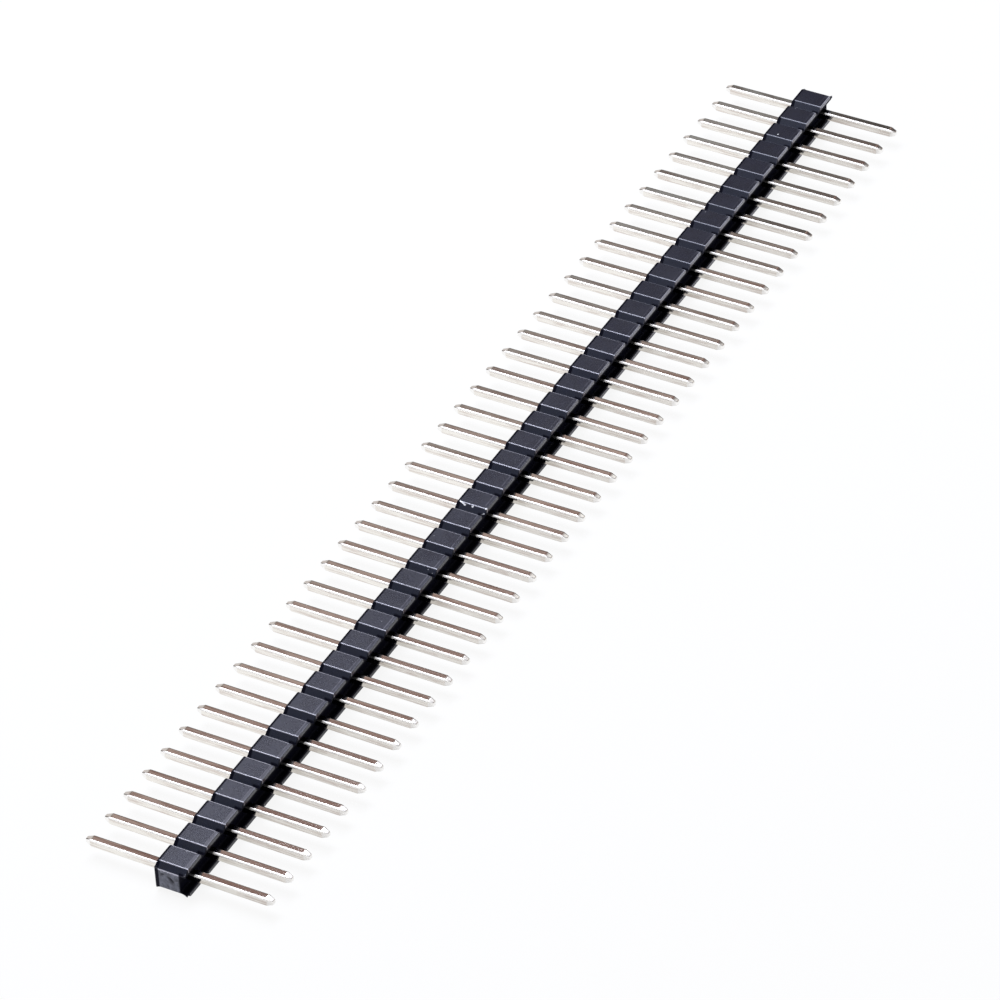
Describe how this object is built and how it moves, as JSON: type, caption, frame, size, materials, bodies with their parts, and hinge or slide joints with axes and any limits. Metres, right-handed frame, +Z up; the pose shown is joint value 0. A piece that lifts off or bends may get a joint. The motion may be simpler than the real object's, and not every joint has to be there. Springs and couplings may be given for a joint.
{
  "type": "pin header strip",
  "caption": "Single-row straight pin header: a grooved black plastic strip with feet on one face and square tinned pins pressed right through it.",
  "frame": {"origin": "middle of the strip's outline on the surface it lies on, under the axes of the pins", "axes": "+X along the row of pins, +Y along the pins towards the contact ends and away from the feet, +Z up through the thickness of the strip"},
  "size_m": [0.1016, 0.015, 0.0025],
  "materials": {
    "housing": "fine matt moulded surface, near black with a cool cast",
    "pins": "bright tin plate, warm silver"
  },
  "bodies": {
    "root": {"housing": "housing", "pin_01": "pins", "pin_02": "pins", "pin_03": "pins", "pin_04": "pins", "pin_05": "pins", "pin_06": "pins", "pin_07": "pins", "pin_08": "pins", "pin_09": "pins", "pin_10": "pins", "pin_11": "pins", "pin_12": "pins", "pin_13": "pins", "pin_14": "pins", "pin_15": "pins", "pin_16": "pins", "pin_17": "pins", "pin_18": "pins", "pin_19": "pins", "pin_20": "pins", "pin_21": "pins", "pin_22": "pins", "pin_23": "pins", "pin_24": "pins", "pin_25": "pins", "pin_26": "pins", "pin_27": "pins", "pin_28": "pins", "pin_29": "pins", "pin_30": "pins", "pin_31": "pins", "pin_32": "pins", "pin_33": "pins", "pin_34": "pins", "pin_35": "pins", "pin_36": "pins", "pin_37": "pins", "pin_38": "pins", "pin_39": "pins", "pin_40": "pins"}
  },
  "joints": []
}
